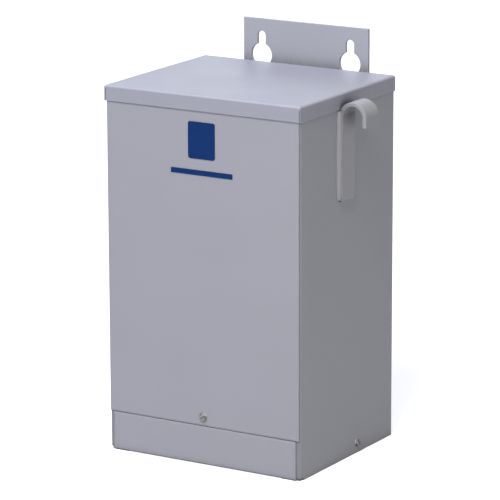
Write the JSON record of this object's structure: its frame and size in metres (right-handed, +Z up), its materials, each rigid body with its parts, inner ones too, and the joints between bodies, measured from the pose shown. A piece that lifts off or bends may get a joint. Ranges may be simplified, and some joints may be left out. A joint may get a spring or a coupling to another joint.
{
  "type": "dry-type transformer",
  "caption": "Encapsulated dry-type transformer in a tall grey sheet steel case with a lipped lid, screwed front cover, side lifting hooks and a rear keyhole bracket for a wall.",
  "frame": {"origin": "bottom centre of the whole part's bounding box, on the floor it stands on", "axes": "+Z up, -Y the front cover, +Y the wall side, +X the right-hand side panel seen from the front"},
  "size_m": [0.2762, 0.2016, 0.4063],
  "materials": {
    "case_paint": "smooth light grey powder coat on sheet steel",
    "lid_paint": "smooth light grey powder coat, brighter where the bends catch the light",
    "hook_paint": "grey enamel over flat bar, worn a little inside the curl",
    "bracket_paint": "light grey powder coat on pressed plate",
    "zinc": "dull zinc plate",
    "potting": "cast resin and sand compound, matt and slightly grainy",
    "badge_blue": "plain dark blue printed film, blank"
  },
  "bodies": {
    "root": {"back_panel": "case_paint", "left_side_panel": "case_paint", "right_side_panel": "case_paint", "front_cover": "case_paint", "lower_front_panel": "case_paint", "front_rail": "case_paint", "bottom_tray": "case_paint", "lid": "lid_paint", "encapsulated_core": "potting", "left_lifting_hook": "hook_paint", "right_lifting_hook": "hook_paint", "left_hook_weld": "hook_paint", "right_hook_weld": "hook_paint", "wall_bracket": "bracket_paint", "lower_wall_spacer": "bracket_paint", "left_bracket_bolts": "zinc", "right_bracket_bolts": "zinc", "left_spacer_bolt": "zinc", "right_spacer_bolt": "zinc", "front_cover_screw": "zinc", "left_side_screw": "zinc", "right_side_screw": "zinc", "left_lid_screw": "zinc", "right_lid_screw": "zinc", "left_knockout_ring": "case_paint", "right_knockout_ring": "case_paint", "left_knockout_disc": "case_paint", "right_knockout_disc": "case_paint", "front_badge": "badge_blue", "front_badge_bar": "badge_blue"}
  },
  "joints": []
}
